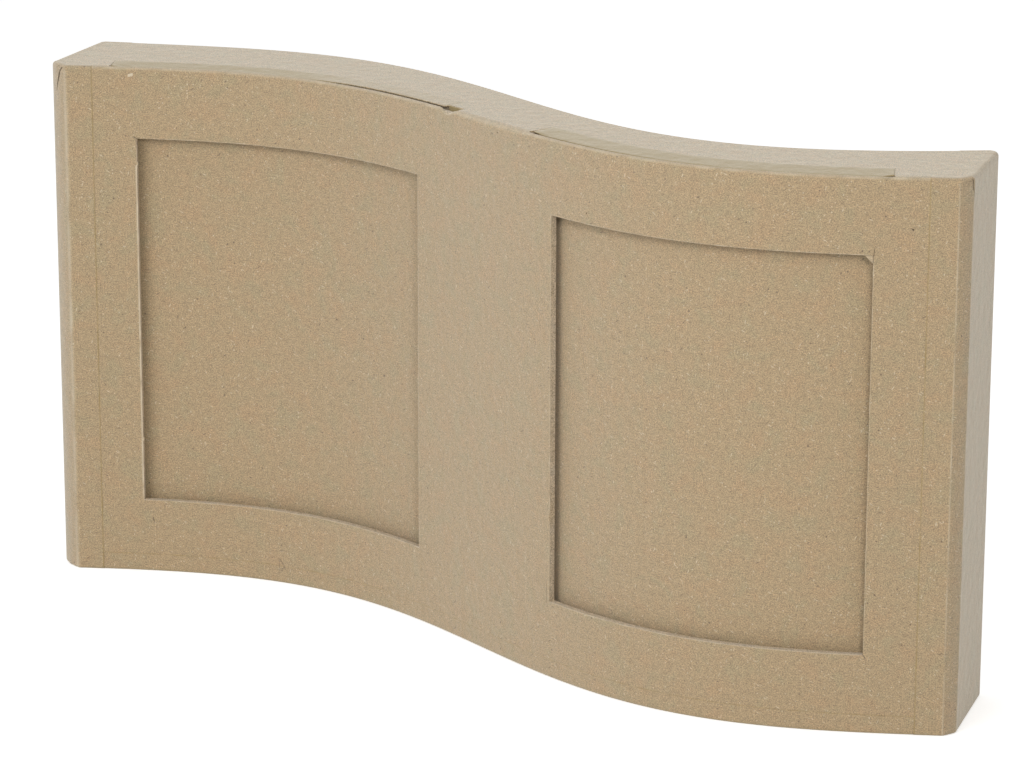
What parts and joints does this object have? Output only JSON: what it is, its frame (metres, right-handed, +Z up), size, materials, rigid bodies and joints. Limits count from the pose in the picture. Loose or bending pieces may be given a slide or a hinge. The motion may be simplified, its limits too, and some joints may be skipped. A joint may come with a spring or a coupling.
{
  "type": "double photo frame",
  "caption": "Free-standing kraft-board box frame bent into a wave, with a window in each half and top slots that the prints slide into.",
  "frame": {"origin": "centre of the base, on the surface that the frame stands on", "axes": "+X along the wave to the viewer's right, -Y out of the front with the windows, +Z up"},
  "size_m": [0.367, 0.0926, 0.19],
  "materials": {
    "greyboard": "raw, matte, with short fibres at cut edges",
    "kraft_paper": "matte recycled kraft with fine specks and fibres"
  },
  "bodies": {
    "root": {"front_panel": "greyboard", "rear_panel": "greyboard", "left_end_panel": "greyboard", "right_end_panel": "greyboard", "base_panel": "greyboard", "top_panel": "greyboard", "backing_panel": "greyboard", "left_spacer": "greyboard", "middle_spacer": "greyboard", "right_spacer": "greyboard", "left_print_stop": "greyboard", "right_print_stop": "greyboard", "front_paper": "kraft_paper", "rear_paper": "kraft_paper", "left_end_paper": "kraft_paper", "right_end_paper": "kraft_paper", "top_paper": "kraft_paper", "base_paper": "kraft_paper", "backing_paper": "kraft_paper"}
  },
  "joints": []
}
